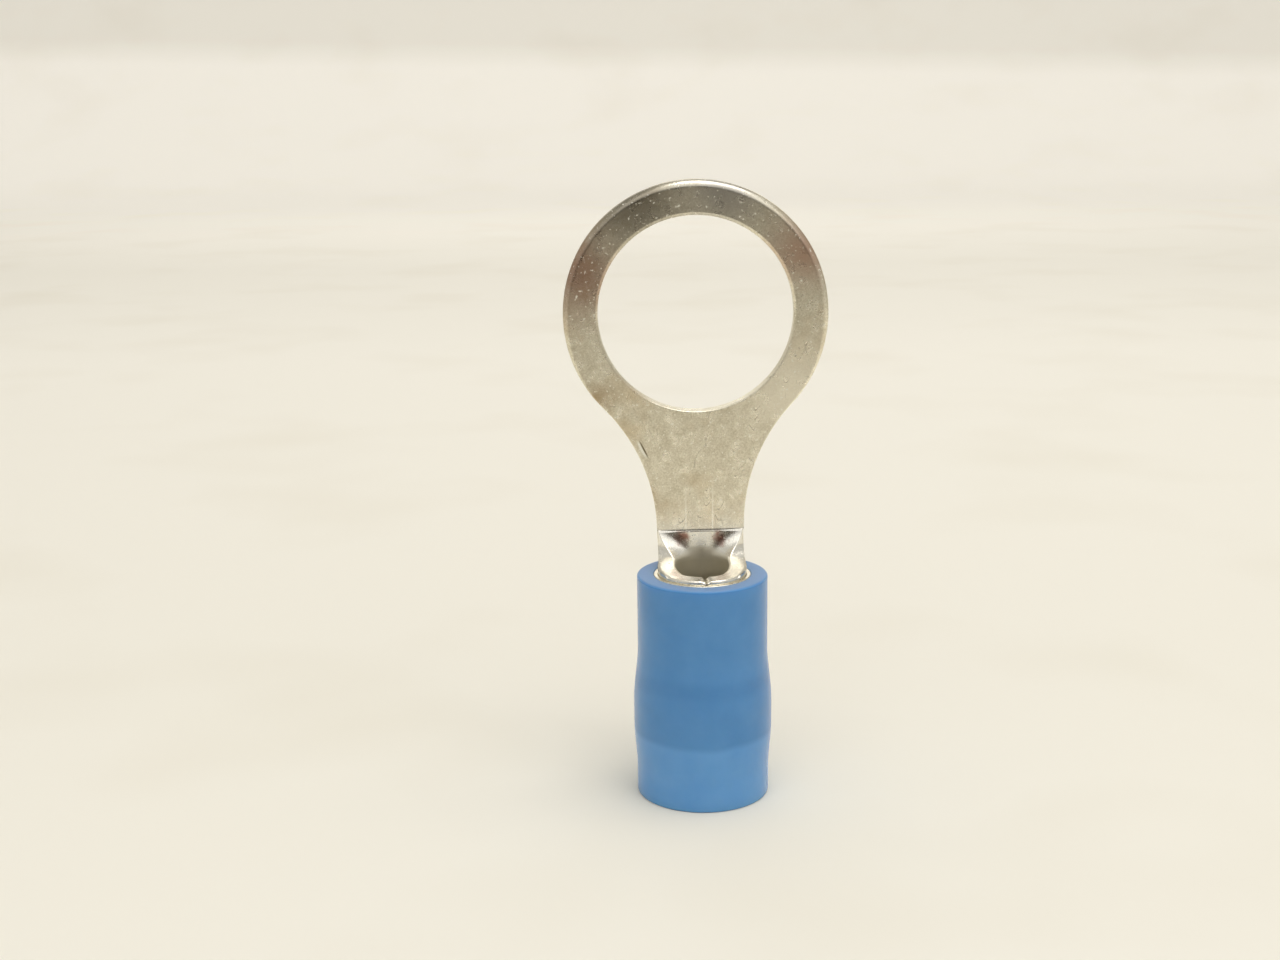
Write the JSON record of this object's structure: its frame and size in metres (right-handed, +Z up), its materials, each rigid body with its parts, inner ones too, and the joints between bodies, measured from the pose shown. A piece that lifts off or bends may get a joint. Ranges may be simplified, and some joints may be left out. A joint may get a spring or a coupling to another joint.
{
  "type": "ring terminal",
  "caption": "Insulated ring terminal: a tin-plated ring tongue on a rolled wire barrel, with a thin metal grip sleeve inside a blue nylon tube.",
  "frame": {"origin": "centre of the insulator's wire-end mouth, on the barrel's axis, at the level of the face that the part stands on", "axes": "+Z up the barrel's axis towards the ring; -Y is the side that the barrel's seam and the tongue's upper face look to; +X to the right when that face is seen"},
  "size_m": [0.0134, 0.0072, 0.0315],
  "materials": {
    "tin_plate": "tin-plated copper, semi-bright, finely scratched and mottled from tumbling",
    "blue_nylon": "translucent blue nylon, extruded tube with a soft gloss"
  },
  "bodies": {
    "root": {"terminal": "tin_plate", "support_sleeve": "tin_plate", "insulator": "blue_nylon"}
  },
  "joints": []
}
